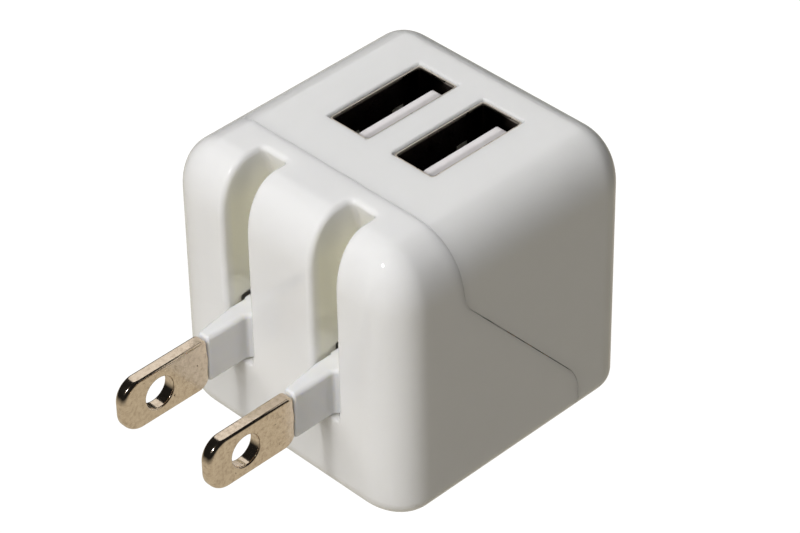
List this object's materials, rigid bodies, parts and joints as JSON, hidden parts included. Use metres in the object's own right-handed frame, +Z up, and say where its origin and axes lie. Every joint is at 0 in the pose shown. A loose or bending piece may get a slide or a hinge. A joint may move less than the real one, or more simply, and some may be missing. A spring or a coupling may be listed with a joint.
{
  "type": "usb wall charger",
  "caption": "Cube mains charger with fold-away flat prongs, two sockets in the top and a two-shell glossy casing.",
  "frame": {"origin": "on the wall face, midway between the two prongs, on their centreline", "axes": "+X across the two prongs, +Y from the wall face into the body, +Z up towards the sockets"},
  "size_m": [0.0336, 0.0503, 0.0333],
  "materials": {
    "warm_casing": "polished warm white, faintly translucent",
    "cool_casing": "polished white",
    "rotor_plastic": "polished white, fine moulded edges",
    "blade_metal": "nickel-plated brass with a warm, slightly mottled cast",
    "inner_plastic": "plain moulded",
    "spring_steel": "rolled strip",
    "contact_metal": "bright strip",
    "board_laminate": "solder mask over woven glass",
    "shield_metal": "nickel-plated sheet",
    "tongue_plastic": "satin moulded, faint ejector drag lines",
    "ferrite": "sintered, fine grain",
    "enamelled_wire": "close-wound enamelled copper",
    "yellow_tape": "polyester film",
    "dark_sleeve": "shrunk sleeve",
    "bare_can": "drawn can",
    "chip_epoxy": "moulded epoxy",
    "green_lacquer": "dipped lacquer",
    "blue_lacquer": "dipped lacquer"
  },
  "bodies": {
    "housing": {"front_shell": "warm_casing", "rear_shell": "cool_casing", "rotor_retainer": "inner_plastic", "detent_spring": "spring_steel", "left_contact_spring": "contact_metal", "right_contact_spring": "contact_metal", "main_board": "board_laminate", "port_board": "board_laminate", "left_usb_shield": "shield_metal", "right_usb_shield": "shield_metal", "left_usb_tongue": "tongue_plastic", "right_usb_tongue": "tongue_plastic", "left_usb_contacts": "contact_metal", "right_usb_contacts": "contact_metal", "transformer_core": "ferrite", "transformer_bobbin": "inner_plastic", "transformer_winding": "enamelled_wire", "transformer_tape": "yellow_tape", "insulation_sheet": "yellow_tape", "rear_input_capacitor": "dark_sleeve", "side_input_capacitor": "dark_sleeve", "rear_output_capacitor": "bare_can", "side_output_capacitor": "bare_can", "bridge_rectifier": "chip_epoxy", "fuse_resistor": "green_lacquer", "choke_core": "ferrite", "choke_winding": "enamelled_wire", "controller_chip": "chip_epoxy", "optocoupler": "chip_epoxy", "safety_capacitor": "blue_lacquer", "output_rectifier": "chip_epoxy", "snubber_diode": "chip_epoxy", "header_base": "chip_epoxy", "header_pins": "contact_metal", "charge_port_chip": "chip_epoxy", "main_board_resistors": "chip_epoxy", "port_board_resistors": "chip_epoxy"},
    "prongs": {"prong_rotor": "rotor_plastic", "left_blade": "blade_metal", "right_blade": "blade_metal"}
  },
  "joints": [
    {"name": "prong_fold", "type": "hinge", "parent": "housing", "child": "prongs", "pos_m": [0, 0.0027, -0.0009], "axis": [-1, 0, 0], "range_deg": [0, 90]}
  ]
}
